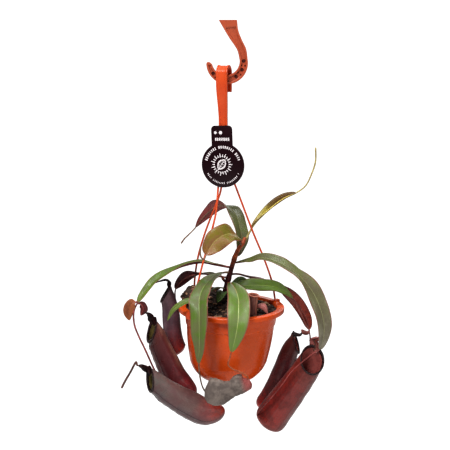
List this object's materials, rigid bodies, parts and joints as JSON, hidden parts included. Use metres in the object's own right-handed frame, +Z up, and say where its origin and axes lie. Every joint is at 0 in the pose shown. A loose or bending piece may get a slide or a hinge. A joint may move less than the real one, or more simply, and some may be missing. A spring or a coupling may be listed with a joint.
{
  "type": "hanging pitcher plant",
  "caption": "Tropical pitcher plant with long arching leaves and maroon hanging pitchers, in an orange pot on a clip-on hanger with a label and bracket hook",
  "frame": {"origin": "middle of the flat top of the bracket hook", "axes": "+Z up along the hanger, +X to the viewer's right, -Y towards the viewer"},
  "size_m": [0.2741, 0.1915, 0.5449],
  "materials": {
    "pot_plastic": "satin, moulded",
    "hanger_plastic": "satin, moulded",
    "hook_plastic": "satin, moulded",
    "label_print": "printed, semi-gloss",
    "stem_skin": "smooth bark",
    "leaf_blade": "waxy leaf",
    "leaf_olive_blade": "waxy leaf",
    "leaf_golden_blade": "waxy leaf",
    "leaf_maroon_blade": "waxy leaf",
    "dried_leaf": "dry leaf",
    "pitcher_grey_skin": "waxy, speckled",
    "pitcher_red_skin": "waxy, speckled",
    "withered_skin": "dry, puckered",
    "soil_bark": "coarse bark mix"
  },
  "bodies": {
    "root": {"pot": "pot_plastic", "bracket_hook": "hook_plastic", "hanger_strap": "hanger_plastic", "hanger_leg_front": "hanger_plastic", "hanger_leg_rear": "hanger_plastic", "hanger_leg_right": "hanger_plastic", "hanging_label": "label_print", "stem": "stem_skin", "leaf_new": "leaf_golden_blade", "leaf_top": "leaf_olive_blade", "leaf_olive": "leaf_olive_blade", "leaf_right": "leaf_blade", "leaf_long": "leaf_blade", "leaf_maroon": "leaf_maroon_blade", "leaf_front_left": "leaf_blade", "leaf_front": "leaf_blade", "leaf_right_low": "leaf_blade", "leaf_behind": "leaf_maroon_blade", "leaf_left_small": "leaf_blade", "leaf_low": "leaf_blade", "leaf_rear_small": "leaf_blade", "pitcher_front_left": "pitcher_grey_skin", "pitcher_mid_left": "pitcher_grey_skin", "pitcher_rear_left": "pitcher_grey_skin", "pitcher_front_right": "pitcher_red_skin", "pitcher_rear_right": "pitcher_red_skin", "pitcher_small": "dried_leaf", "pitcher_withered": "withered_skin", "soil": "soil_bark", "leaf_dried": "dried_leaf"}
  },
  "joints": []
}
